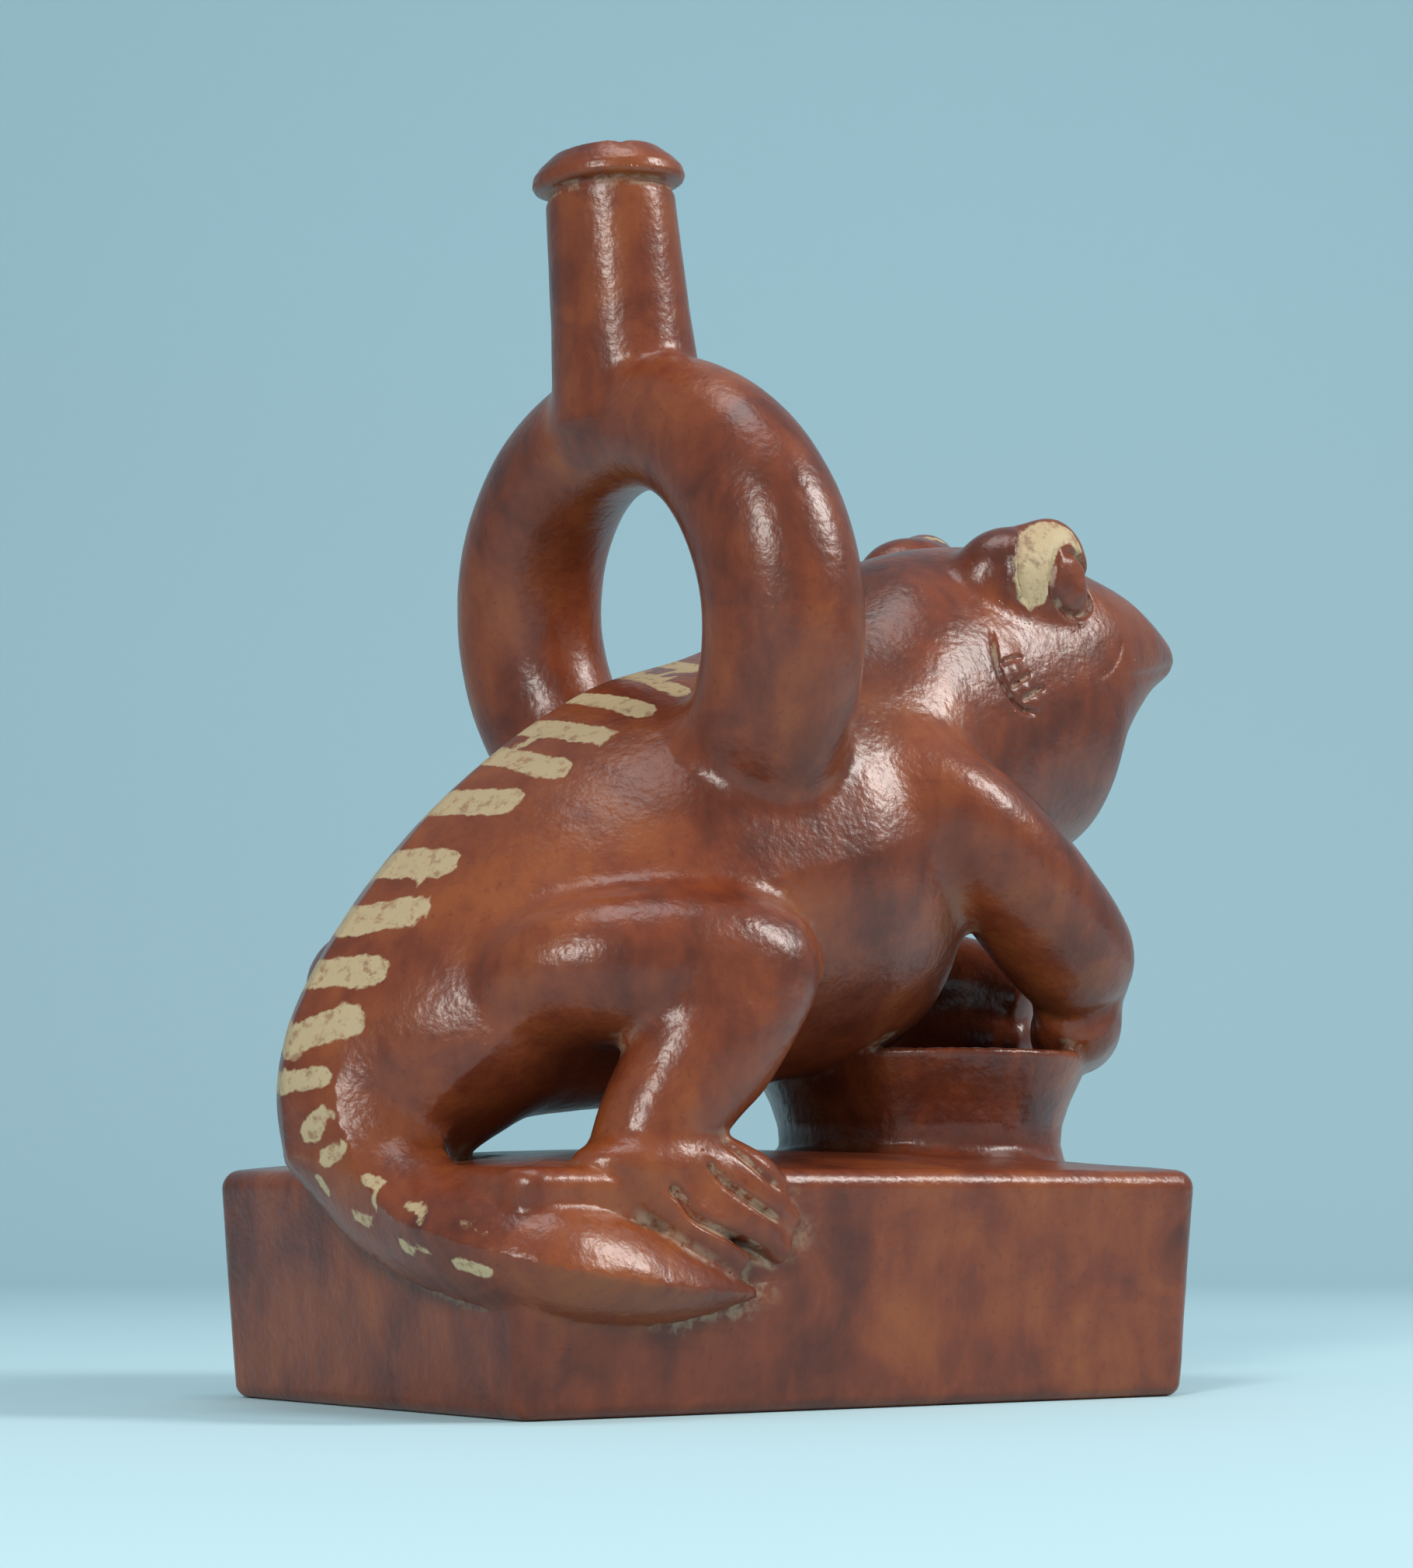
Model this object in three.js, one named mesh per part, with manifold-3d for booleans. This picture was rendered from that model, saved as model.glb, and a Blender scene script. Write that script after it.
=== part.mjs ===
// A stirrup spout vessel: a lizard on a box base leans over a bowl that its arms hold,
// and a ring-shaped stirrup over its back carries the spout. One hollow piece of fired clay.
// Millimetres, +Z up, +X the way the animal looks, origin at the middle of the flat underside.
import * as THREE from "three";
import { mergeVertices } from "three/addons/utils/BufferGeometryUtils.js";
import Module from "manifold-3d";

const wasm = await Module();
wasm.setup();

// Driving sizes
const totalHeight = 223.8;
const baseLength = 147.1;
const baseWidth = 101.9;
const baseHeight = 40.1;
const baseInset = 3.3; // the box draws in by this much a side, towards the ground
const baseDome = 3.6; // its top swells by this much
const baseCorner = 6; // radius of the upright corners
const edgeRound = 3.6; // rounding along the top and bottom edges
const wall = 5;
const joint = 0.3; // gap between two of the four solids that the vessel is parted into

// The stirrup and its spout stand in a frame of their own, that leans back a little.
const stirrupX = -13.6;
const stirrupZ = 137.3;
const stirrupLean = THREE.MathUtils.degToRad(6.3);
const arcWide = 40; // its centre line is an arc of an ellipse: half width and half height
const arcTall = 36.5;
const tubeRight = 14.2; // radius of the tube on the animal's right, then on its left
const tubeLeft = 13.4;
const tubeCrown = 12.1; // and under the spout
const leftLegAhead = 6; // how far forward the arc would have come at its lowest on the left
const stirrupBore = 7.6;

const spoutLength = 52;
const spoutFootRadius = 14.2;
const spoutNeckRadius = 11.6;
const lipRadius = 13.8;
const lipHeight = 7.5;
const mouthRadius = 7.2;

const bowlX = 48.2;
const bowlFootZ = 41.5;
const bowlRimZ = 62;
const bowlFootRadius = 26.1;
const bowlRimRadius = 32.3;
const bowlWall = 3.6;

const leftBrowShift = [3.2, 3.2]; // the left brow sits a little further forward and higher than the right

const rightSide = -1; // the animal's right is -Y
const leftSide = 1;

// ---- surfaces ----

// Skin over rings with the same number of points each, closed by a fan at both ends.
function skin(rings) {
  const count = rings[0].length;
  const points = rings.flat();
  const middle = (ring) =>
    ring.reduce((sum, p) => sum.add(p), new THREE.Vector3()).divideScalar(count);
  points.push(middle(rings[0]), middle(rings.at(-1)));
  const faces = [];
  for (let r = 0; r < rings.length - 1; r++) {
    for (let i = 0; i < count; i++) {
      const a = r * count + i;
      const b = r * count + ((i + 1) % count);
      faces.push(a, b, b + count, a, b + count, a + count);
    }
  }
  const last = (rings.length - 1) * count;
  for (let i = 0; i < count; i++) {
    const next = (i + 1) % count;
    faces.push(points.length - 2, next, i);
    faces.push(points.length - 1, last + i, last + next);
  }
  const geometry = new THREE.BufferGeometry().setFromPoints(points);
  geometry.setIndex(faces);
  return signedVolume(geometry) < 0 ? turnedInsideOut(geometry) : geometry;
}

function signedVolume(geometry) {
  const position = geometry.getAttribute("position");
  const index = geometry.getIndex();
  const corner = [0, 1, 2].map(() => new THREE.Vector3());
  let volume = 0;
  for (let i = 0; i < index.count; i += 3) {
    corner.forEach((c, k) => c.fromBufferAttribute(position, index.getX(i + k)));
    volume += corner[0].dot(corner[1].clone().cross(corner[2])) / 6;
  }
  return volume;
}

function turnedInsideOut(geometry) {
  const index = Array.from(geometry.getIndex().array);
  for (let i = 0; i < index.length; i += 3) {
    [index[i + 1], index[i + 2]] = [index[i + 2], index[i + 1]];
  }
  geometry.setIndex(index);
  return geometry;
}

function solid(geometry) {
  const bare = new THREE.BufferGeometry();
  bare.setAttribute("position", geometry.getAttribute("position"));
  if (geometry.getIndex()) bare.setIndex(geometry.getIndex());
  const merged = mergeVertices(bare, 1e-4);
  return new wasm.Manifold(
    new wasm.Mesh({
      numProp: 3,
      vertProperties: merged.getAttribute("position").array,
      triVerts: new Uint32Array(merged.getIndex().array),
    }),
  );
}

function joined(solids) {
  return solids.reduce((sum, s) => sum.add(s));
}

function meshOf(shape, material, name) {
  const { vertProperties, triVerts } = shape.getMesh();
  const geometry = new THREE.BufferGeometry();
  geometry.setAttribute("position", new THREE.BufferAttribute(vertProperties, 3));
  geometry.setIndex(new THREE.BufferAttribute(triVerts, 1));
  const flat = geometry.toNonIndexed();
  flat.computeVertexNormals();
  const mesh = new THREE.Mesh(flat, material);
  mesh.name = name;
  return mesh;
}

// Values given at a few stations, run smoothly between them.
function smoothly(stations, pick, t) {
  const curve = new THREE.CatmullRomCurve3(
    stations.map((s) => new THREE.Vector3(...pick(s))),
    false,
    "centripetal",
  );
  return curve.getPoint(t);
}

// How far a section reaches at an angle from its crown: a circle, drawn towards a square on edge
// by keel (1 is a full square), which leaves a ridge at the crown.
function reach(angle, keel) {
  return 1 - keel + keel / (Math.abs(Math.sin(angle)) + Math.abs(Math.cos(angle)));
}

// ---- the body and head: ribs that stand from a belly line to a back line ----

// crown and keel line as [x, z], half the width between them, and how sharp the back is
const ribs = [
  { back: [-85.8, 43], belly: [-56, 36], half: 13, keel: 0.45 },
  { back: [-86.9, 56], belly: [-54, 41.5], half: 18.5, keel: 0.5 },
  { back: [-83.2, 69], belly: [-49, 45.6], half: 27, keel: 0.5 },
  { back: [-69.8, 88.7], belly: [-44, 48.2], half: 34.5, keel: 0.45 },
  { back: [-51.5, 107.8], belly: [-30, 50.2], half: 39, keel: 0.35 },
  { back: [-27, 124.5], belly: [-10, 52], half: 42.8, keel: 0.25 },
  { back: [-3.5, 133], belly: [12, 56], half: 43.6, keel: 0.15 },
  { back: [17, 143.5], belly: [36, 63], half: 38, keel: 0.1 },
  { back: [32, 152.5], belly: [43.5, 80.8], half: 31.6, keel: 0 },
  { back: [45, 157], belly: [66.5, 94.4], half: 28, keel: 0 },
  { back: [56, 158.5], belly: [84, 104.6], half: 26, keel: 0 },
  { back: [70, 158.5], belly: [91, 120.5], half: 23, keel: 0 },
  { back: [87, 154.6], belly: [100.5, 131.5], half: 16.5, keel: 0 },
  { back: [100, 148], belly: [107.5, 136.5], half: 10, keel: 0 },
  { back: [107.5, 143.8], belly: [110.7, 139], half: 4.5, keel: 0 },
];

function ribAt(t) {
  const back = smoothly(ribs, (r) => [r.back[0], 0, r.back[1]], t);
  const belly = smoothly(ribs, (r) => [r.belly[0], 0, r.belly[1]], t);
  const size = smoothly(ribs, (r) => [r.half, r.keel, 0], t);
  return { back, belly, half: size.x, keel: size.y };
}

function ribRing(rib, shrink, sides) {
  const middle = rib.back.clone().add(rib.belly).multiplyScalar(0.5);
  const up = rib.back.clone().sub(middle);
  const tall = up.length();
  up.normalize();
  return Array.from({ length: sides }, (_, i) => {
    const angle = (i / sides) * 2 * Math.PI;
    const onBack = Math.cos(angle) > 0;
    const far = reach(angle, onBack ? rib.keel : 0);
    const rise = Math.cos(angle) * far * (tall - shrink);
    const out = Math.sin(angle) * far * (rib.half - shrink);
    return middle.clone().addScaledVector(up, rise).setY(out);
  });
}

function bodySkin({ from, to, rings, sides, shrink }) {
  return skin(
    Array.from({ length: rings }, (_, r) =>
      ribRing(ribAt(from + ((to - from) * r) / (rings - 1)), shrink, sides),
    ),
  );
}

// ---- limbs: tubes of round or oval section along a curve ----

// stations: { at: [x, y, z], r: across, flat: ratio of the section's other radius, keel }
function limb(stations, { rings = 12, sides = 12, out = new THREE.Vector3(0, 1, 0), side = 1, grow = 0 } = {}) {
  const made = [];
  for (let n = 0; n < rings; n++) {
    const t = n / (rings - 1);
    const step = 1e-3;
    const at = smoothly(stations, (s) => s.at, t);
    const before = smoothly(stations, (s) => s.at, Math.max(0, t - step));
    const after = smoothly(stations, (s) => s.at, Math.min(1, t + step));
    const size = smoothly(stations, (s) => [s.r, s.flat ?? 1, s.keel ?? 0], t);
    const along = after.sub(before).normalize();
    const across = new THREE.Vector3().crossVectors(along, out).normalize();
    const outward = new THREE.Vector3().crossVectors(across, along).normalize();
    made.push(
      Array.from({ length: sides }, (_, i) => {
        const angle = (i / sides) * 2 * Math.PI;
        const far = reach(angle, size.z);
        return at
          .clone()
          .addScaledVector(outward, Math.cos(angle) * (far * size.x * size.y + grow))
          .addScaledVector(across, Math.sin(angle) * (far * size.x + grow));
      }),
    );
  }
  return solid(skin(made.map((ring) => ring.map((p) => p.clone().setY(p.y * side)))));
}

function lump([x, y, z], [rx, ry, rz], side, grow, detail = [12, 7]) {
  const ball = new THREE.SphereGeometry(1, ...detail);
  ball.scale(rx + grow, ry + grow, rz + grow).translate(x, y * side, z);
  return solid(ball);
}

// ---- the pieces of the form, as if modelled by hand and pressed together ----

// Box base: rounded rectangles stacked from the ground to the crown of its top.
function boxSkin(levels, cornerSteps) {
  return skin(
    levels.map(({ z, inset }) => {
      const flatX = baseLength / 2 - inset - baseCorner;
      const flatY = baseWidth / 2 - inset - baseCorner;
      const ring = [];
      for (let quarter = 0; quarter < 4; quarter++) {
        const signX = quarter === 0 || quarter === 3 ? 1 : -1;
        const signY = quarter < 2 ? 1 : -1;
        for (let i = 0; i <= cornerSteps; i++) {
          const angle = ((quarter + i / cornerSteps) * Math.PI) / 2;
          const x = signX * flatX + baseCorner * Math.cos(angle);
          const y = signY * flatY + baseCorner * Math.sin(angle);
          ring.push(new THREE.Vector3(x, y, z));
        }
      }
      return ring;
    }),
  );
}

function base(grow) {
  const levels = [];
  const insetAt = (z) => (baseInset * (baseHeight - z)) / baseHeight;
  for (const turn of [0, 30, 60, 90]) {
    const a = THREE.MathUtils.degToRad(turn);
    const z = edgeRound * (1 - Math.cos(a));
    levels.push({ z, inset: insetAt(z) + edgeRound * (1 - Math.sin(a)) });
  }
  for (const turn of [90, 60, 30]) {
    const a = THREE.MathUtils.degToRad(turn);
    const z = baseHeight - edgeRound * (1 - Math.cos(a));
    levels.push({ z, inset: insetAt(z) + edgeRound * (1 - Math.sin(a)) });
  }
  for (const share of [0, 0.35, 0.7]) {
    const inset = edgeRound + share * (baseWidth / 2 - edgeRound);
    levels.push({ z: baseHeight + baseDome * Math.sin((share * Math.PI) / 2), inset });
  }
  return solid(boxSkin(levels.map(({ z, inset }) => ({ z: z + grow, inset: inset - grow })), 4));
}

function baseChamber() {
  return solid(
    boxSkin(
      [
        { z: wall, inset: wall + baseInset + edgeRound },
        { z: wall + edgeRound, inset: wall + baseInset },
        { z: baseHeight - wall - edgeRound, inset: wall + 1 },
        { z: baseHeight - wall, inset: wall + edgeRound },
      ],
      2,
    ),
  );
}

function body(grow) {
  return solid(bodySkin({ from: 0, to: 1, rings: 31, sides: 24, shrink: -grow }));
}

function bodyChamber() {
  return solid(bodySkin({ from: 0.07, to: 0.86, rings: 14, sides: 12, shrink: wall }));
}

// The way from the body down into the base, under the rump.
function hipPassage() {
  return limb(
    [
      { at: [-66, 0, baseHeight - 2 * wall], r: 6 },
      { at: [-68, 0, 60], r: 6 },
    ],
    { rings: 2, sides: 10, out: new THREE.Vector3(1, 0, 0) },
  );
}

function tail(grow) {
  return limb(
    [
      { at: [-71, 0, 62], r: 11, keel: 0.1 },
      { at: [-73.5, -2, 49], r: 13.2, keel: 0.3 },
      { at: [-73, -10, 38.5], r: 11.6, keel: 0.4 },
      { at: [-72.8, -22, 31.8], r: 10.2, keel: 0.55 },
      { at: [-72, -37, 27.2], r: 9.4, keel: 0.7 },
      { at: [-67, -47.5, 24.2], r: 9.1, keel: 0.8 },
      { at: [-55.5, -50.5, 21.8], r: 7.8, keel: 0.8 },
      { at: [-41, -51, 20.4], r: 5.3, keel: 0.8 },
      { at: [-27, -50.3, 19.5], r: 1, keel: 0.6 },
    ],
    { rings: 18, sides: 12, out: new THREE.Vector3(-0.7, -0.7, 0), grow },
  );
}

function hindLeg(side, grow) {
  const thigh = limb(
    [
      { at: [-60, 25, 71], r: 7 },
      { at: [-55, 29.5, 72], r: 10.6 },
      { at: [-48, 34, 72.8], r: 12.3 },
      { at: [-36, 38, 73.2], r: 13.5 },
      { at: [-25, 41.3, 74.2], r: 12.3 },
      { at: [-16, 43.5, 74.6], r: 9 },
      { at: [-11, 44, 74.3], r: 4.5 },
    ],
    { rings: 10, sides: 12, side, grow },
  );
  const shin = limb(
    [
      { at: [-15.5, 43.5, 79], r: 4.6 },
      { at: [-20.5, 43.8, 73], r: 10.4, flat: 0.9 },
      { at: [-32, 43.8, 60.7], r: 12.9, flat: 0.8 },
      { at: [-37, 43.5, 54], r: 11.5, flat: 0.84 },
      { at: [-41.6, 43.2, 47.3], r: 10.2, flat: 0.88 },
      { at: [-43.5, 43.2, 38], r: 11.6, flat: 0.75 },
    ],
    { rings: 10, sides: 12, side, grow },
  );
  const heel = lump([-43.5, 44.8, 40.4], [15.2, 8.4, 5.4], side, grow);
  const sole = lump([-40, 47.2, 37.5], [12.5, 5.6, 7.5], side, grow);
  // [x, z] where a toe leaves the foot and where it ends, over the edge of the box
  const toes = [
    { root: [-49, 37.5], tip: [-31, 24.6], r: 4.4 },
    { root: [-40, 38], tip: [-21.8, 26.4], r: 3.9 },
    { root: [-36, 41], tip: [-20, 31.6], r: 3.5 },
    { root: [-32, 42.4], tip: [-22.4, 37.6], r: 2.8 },
  ].map(({ root: [x, z], tip: [tipX, tipZ], r }) =>
    limb(
      [
        { at: [x, 46.8, z], r },
        { at: [(x + tipX) / 2, 50, (z + tipZ) / 2], r },
        { at: [tipX, 50.4, tipZ], r: r * 0.6 },
      ],
      { rings: 4, sides: 8, side, grow },
    ),
  );
  return joined([thigh, shin, heel, sole, ...toes]);
}

function arm(side, grow) {
  const upperAndFore = limb(
    [
      { at: [12, 23, 109], r: 8 },
      { at: [22, 31, 106.5], r: 10.8 },
      { at: [32, 34, 100.7], r: 12 },
      { at: [42.5, 33.7, 93], r: 12.2 },
      { at: [53.5, 30.7, 85.4], r: 12.2 },
      { at: [62.5, 27, 79.8], r: 11.6 },
      { at: [69, 21.5, 77.6], r: 10 },
      { at: [75.5, 14.5, 76], r: 8.6 },
      { at: [80, 7.5, 73.5], r: 7 },
    ],
    { rings: 13, sides: 11, side, out: new THREE.Vector3(0.5, 1, 0), grow },
  );
  const hand = limb(
    [
      { at: [65, 26, 69.6], r: 7.2 },
      { at: [67.5, 23, 68], r: 8.2 },
      { at: [72.6, 16.3, 66.5], r: 8.3 },
      { at: [77, 8.5, 65], r: 6.8 },
      { at: [78, 5.5, 64.5], r: 4 },
    ],
    { rings: 6, sides: 10, side, out: new THREE.Vector3(0.7, 0.7, 0), grow },
  );
  return upperAndFore.add(hand);
}

function bowl(grow) {
  const foot = bowlFootRadius + 0.8 + grow;
  const outer = [
    [foot, bowlFootZ + 1],
    [bowlFootRadius + grow, bowlFootZ + 4],
    [bowlFootRadius + 1 + grow, bowlFootZ + 9],
    [bowlRimRadius - 2.3 + grow, bowlFootZ + 15.5],
    [bowlRimRadius + grow, bowlRimZ - 0.8],
    [bowlRimRadius - 1.2 + grow, bowlRimZ + grow],
  ];
  const inner = [
    [bowlRimRadius - bowlWall - grow, bowlRimZ - 1 + grow],
    [bowlFootRadius - 2 - grow, bowlFootZ + 9],
    [bowlFootRadius - 7 - grow, bowlFootZ + 5.5 + grow],
    [0, bowlFootZ + 4.6 + grow],
  ];
  const profile = [[0, bowlFootZ - 4], [foot, bowlFootZ - 4], ...outer, ...inner];
  return solid(lathe(profile, 24).translate(bowlX, 0, 0));
}

// A profile of [radius, height] turned about Z.
function lathe(profile, sides) {
  const turned = new THREE.LatheGeometry(
    profile.map(([r, z]) => new THREE.Vector2(r, z)),
    sides,
  );
  turned.rotateX(Math.PI / 2); // three.js turns about Y
  const bare = new THREE.BufferGeometry();
  bare.setAttribute("position", turned.getAttribute("position"));
  bare.setIndex(turned.getIndex());
  const merged = mergeVertices(bare, 1e-4);
  return signedVolume(merged) < 0 ? turnedInsideOut(merged) : merged;
}

// Lobe over the eye, with its flat outer face, and the eyeball before it.
function browAndEye(side, grow) {
  const [ahead, up] = side === leftSide ? leftBrowShift : [0, 0];
  return joined([
    lump([58.4 + ahead, 17, 149.8 + up], [13.4, 8.5, 10.5], side, grow, [12, 8]),
    lump([64 + ahead, 20.3, 152.6 + up], [8, 5.4, 9.5], side, grow, [12, 8]),
    lump([68.4 + ahead, 20.5, 148.2 + up], [5, 5.2, 5], side, grow, [10, 6]),
  ]);
}

// The stirrup's own frame, set over the back.
function onTheBack(geometry) {
  return solid(geometry.rotateY(-stirrupLean).translate(stirrupX, 0, stirrupZ));
}

// The stirrup: an arc over the back whose two feet sink into the flanks.
function stirrup(radiusAt, sides, rings) {
  const reachBelow = THREE.MathUtils.degToRad(58); // how far the arc runs on below its widest
  const made = [];
  for (let n = 0; n < rings; n++) {
    const share = n / (rings - 1);
    const turn = share * Math.PI + (2 * share - 1) * reachBelow;
    const r = radiusAt(share, turn);
    const ahead = leftLegAhead * share * ((1 - Math.sin(turn)) / 2) ** 2;
    const at = new THREE.Vector3(ahead, -arcWide * Math.cos(turn), arcTall * Math.sin(turn));
    const outward = new THREE.Vector3(0, -arcTall * Math.cos(turn), arcWide * Math.sin(turn));
    outward.normalize();
    made.push(
      Array.from({ length: sides }, (_, i) => {
        const angle = (i / sides) * 2 * Math.PI;
        return at
          .clone()
          .addScaledVector(outward, Math.cos(angle) * r)
          .setX(at.x + Math.sin(angle) * r);
      }),
    );
  }
  return onTheBack(skin(made));
}

function stirrupTube() {
  const radiusAt = (share, turn) => {
    const leg = THREE.MathUtils.lerp(tubeRight, tubeLeft, share);
    return THREE.MathUtils.lerp(leg, tubeCrown, Math.max(0, Math.sin(turn)) ** 3);
  };
  return stirrup(radiusAt, 13, 20);
}

function stirrupChannel() {
  return stirrup(() => stirrupBore, 8, 14);
}

const spoutTop = (totalHeight - stirrupZ) / Math.cos(stirrupLean) - 0.9;
const spoutFoot = spoutTop - spoutLength;

function spout() {
  const neck = spoutTop - lipHeight;
  return onTheBack(
    lathe(
      [
        [0, spoutFoot],
        [spoutFootRadius, spoutFoot],
        [spoutFootRadius - 0.8, spoutFoot + 10],
        [spoutNeckRadius + 0.3, neck - 10],
        [spoutNeckRadius, neck],
        [lipRadius, neck + 2.2],
        [lipRadius - 1, neck + 5],
        [mouthRadius + 1.4, spoutTop],
        [0, spoutTop],
      ],
      20,
    ),
  );
}

function spoutBore() {
  const below = spoutFoot + 6;
  return onTheBack(
    lathe(
      [
        [0, below],
        [mouthRadius, below],
        [mouthRadius, spoutTop - 2],
        [mouthRadius + 0.8, spoutTop + 2],
        [0, spoutTop + 2],
      ],
      14,
    ),
  );
}

// ---- the vessel: one piece of fired clay, parted into four solids where a potter joins them ----

function animal(grow) {
  const pieces = [body(grow), tail(grow)];
  for (const side of [rightSide, leftSide]) {
    pieces.push(hindLeg(side, grow), arm(side, grow), browAndEye(side, grow));
  }
  return joined(pieces);
}

const hollow = joined([
  baseChamber(),
  hipPassage(),
  bodyChamber(),
  stirrupChannel(),
  spoutBore(),
]);

const redSlip = new THREE.MeshStandardMaterial({
  color: 0x8a3f22,
  roughness: 0.42,
  metalness: 0,
});

const solids = {
  box_base: base(0).subtract(hollow),
  bowl: bowl(0).subtract(base(joint)),
  animal: animal(0).subtract(base(joint)).subtract(bowl(joint)).subtract(hollow),
  stirrup_spout: stirrupTube().add(spout()).subtract(animal(joint)).subtract(hollow),
};

const vessel = new THREE.Group();
for (const [name, shape] of Object.entries(solids)) {
  vessel.add(meshOf(shape, redSlip, name));
}
export default vessel;
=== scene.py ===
import bpy
import bmesh
import math
import numpy as np
from mathutils import Matrix, Vector


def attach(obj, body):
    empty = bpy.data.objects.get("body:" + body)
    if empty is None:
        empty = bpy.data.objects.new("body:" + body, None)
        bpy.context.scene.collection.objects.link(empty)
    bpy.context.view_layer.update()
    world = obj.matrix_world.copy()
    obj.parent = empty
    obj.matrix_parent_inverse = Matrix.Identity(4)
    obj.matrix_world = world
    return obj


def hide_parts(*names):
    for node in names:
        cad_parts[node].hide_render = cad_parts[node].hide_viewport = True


# A stirrup spout vessel in burnished red slip: a lizard on a box base leans over a bowl.
# The clay is worked out in millimetres, and the mesh is made in metres.
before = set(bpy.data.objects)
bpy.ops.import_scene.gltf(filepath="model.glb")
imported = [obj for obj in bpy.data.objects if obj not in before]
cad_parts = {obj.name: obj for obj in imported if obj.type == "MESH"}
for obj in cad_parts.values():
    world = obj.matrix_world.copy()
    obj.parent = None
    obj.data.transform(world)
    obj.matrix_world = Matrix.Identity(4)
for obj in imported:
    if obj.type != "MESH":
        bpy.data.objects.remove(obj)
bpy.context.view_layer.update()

clay = {
    "gridStep": 1.0,  # mm between the grid's points
    "quickStep": 1.8,
    "wall": 5.0,
    "trianglesKept": 110000,  # after the flat places are thinned
    "trianglesMost": 190000,  # in the finished mesh
    "fineEdge": 0.6,  # longest edge in the places with fine marks
}


pointsAtOnce = 60000  # keeps the measuring within little memory


def alongStations(stations, share):
    # stations: rows of values, the first three a place; share runs from 0 to 1.
    p = np.asarray(stations, float)
    spot = np.clip(np.asarray(share, float), 0, 1) * (len(p) - 1)
    i = np.minimum(spot.astype(int), len(p) - 2)
    w = (spot - i)[:, None]
    before = np.vstack([2 * p[0] - p[1], p, 2 * p[-1] - p[-2]])
    p0, p1, p2, p3 = before[i], before[i + 1], before[i + 2], before[i + 3]

    def gap(a, b):
        return np.maximum(((a - b) ** 2).sum(1), 1e-12) ** 0.25

    t0, t1, t2 = gap(p0, p1)[:, None], gap(p1, p2)[:, None], gap(p2, p3)[:, None]
    m1 = ((p1 - p0) / t0 - (p2 - p0) / (t0 + t1) + (p2 - p1) / t1) * t1
    m2 = ((p2 - p1) / t1 - (p3 - p1) / (t1 + t2) + (p3 - p2) / t2) * t1
    c2 = -3 * p1 + 3 * p2 - 2 * m1 - m2
    c3 = 2 * p1 - 2 * p2 + m1 + m2
    return p1 + m1 * w + c2 * w**2 + c3 * w**3


def nearOnly(points, lo, hi, pad, measure):
    # Runs measure on the points within pad of a box, and gives the distance to the box elsewhere.
    lo, hi = np.asarray(lo, float), np.asarray(hi, float)
    out = np.maximum(lo - points, points - hi)
    far = np.sqrt((np.maximum(out, 0) ** 2).sum(1)) + 1.0
    inside = (out < pad).all(1)
    if inside.any():
        far[inside] = measure(points[inside])
    return far


def sectionReach(across, up, keel):
    # Outline of a section in its own units: a circle drawn towards a square on edge by keel.
    size = np.hypot(across, up) + 1e-9
    return 1 - keel + keel * size / (np.abs(across) + np.abs(up) + 1e-9)


def tube(stations, out, samples=110, capDepth=0.4):
    # stations: x, y, z, radius, flat, keel. Returns a function of points.
    rows = np.array([(list(s) + [1.0, 0.0])[:6] if len(s) == 4 else (list(s) + [0.0])[:6] for s in stations])
    share = np.linspace(0, 1, samples)
    centre = alongStations(rows[:, :3], share)
    size = alongStations(rows[:, 3:6], share)
    along = np.gradient(centre, axis=0)
    step = np.linalg.norm(along, axis=1)
    along /= step[:, None]
    across = np.cross(along, np.asarray(out, float))
    across /= np.linalg.norm(across, axis=1)[:, None]
    outward = np.cross(across, along)
    widest = size[:, 0].max()
    lo, hi = centre.min(0) - widest, centre.max(0) + widest

    def measure(p):
        d = np.empty(len(p))
        for a in range(0, len(p), pointsAtOnce):
            q = p[a : a + pointsAtOnce]
            away = (centre**2).sum(1)[None, :] - 2 * q @ centre.T
            i = away.argmin(1)
            shift = ((q - centre[i]) * along[i]).sum(1) / step[i]
            spot = i + np.clip(shift, -0.7, 0.7)
            inner = np.clip(spot, 0, samples - 1)
            j = np.minimum(inner.astype(int), samples - 2)
            w = (inner - j)[:, None]
            c = centre[j] * (1 - w) + centre[j + 1] * w
            s = size[j] * (1 - w) + size[j + 1] * w
            v = q - c
            l = (v * (along[j] * (1 - w) + along[j + 1] * w)).sum(1)
            o = (v * (outward[j] * (1 - w) + outward[j + 1] * w)).sum(1)
            x = (v * (across[j] * (1 - w) + across[j + 1] * w)).sum(1)
            r = s[:, 0]
            flat = s[:, 1]
            reach = sectionReach(x / r, o / (r * flat), s[:, 2])
            k = np.hypot(x / r, o / (r * flat)) / reach
            ends = (i == 0) & (shift < 0) | (i == samples - 1) & (shift > 0)
            l = np.where(ends, l / capDepth, 0)
            k = np.hypot(k, l / r)
            length = np.sqrt(o**2 + x**2 + (l * capDepth) ** 2)
            d[a : a + pointsAtOnce] = np.where(k > 0.15, length * (1 - 1 / np.maximum(k, 1e-3)), -r * flat)
        return d

    return lambda p, pad=8.0: nearOnly(p, lo, hi, pad, measure)


def ball(centre, radii):
    centre, radii = np.array(centre, float), np.array(radii, float)

    def measure(p):
        q = (p - centre) / radii
        k0 = np.sqrt((q**2).sum(1)) + 1e-6
        k1 = np.sqrt(((q / radii) ** 2).sum(1)) + 1e-6
        return k0 * (k0 - 1) / k1

    return lambda p, pad=8.0: nearOnly(p, centre - radii, centre + radii, pad, measure)


def blend(a, b, k):
    h = np.maximum(k - np.abs(a - b), 0) / k
    return np.minimum(a, b) - h * h * k / 4


def mirrored(points):
    return points * np.array([1.0, -1.0, 1.0])


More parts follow.
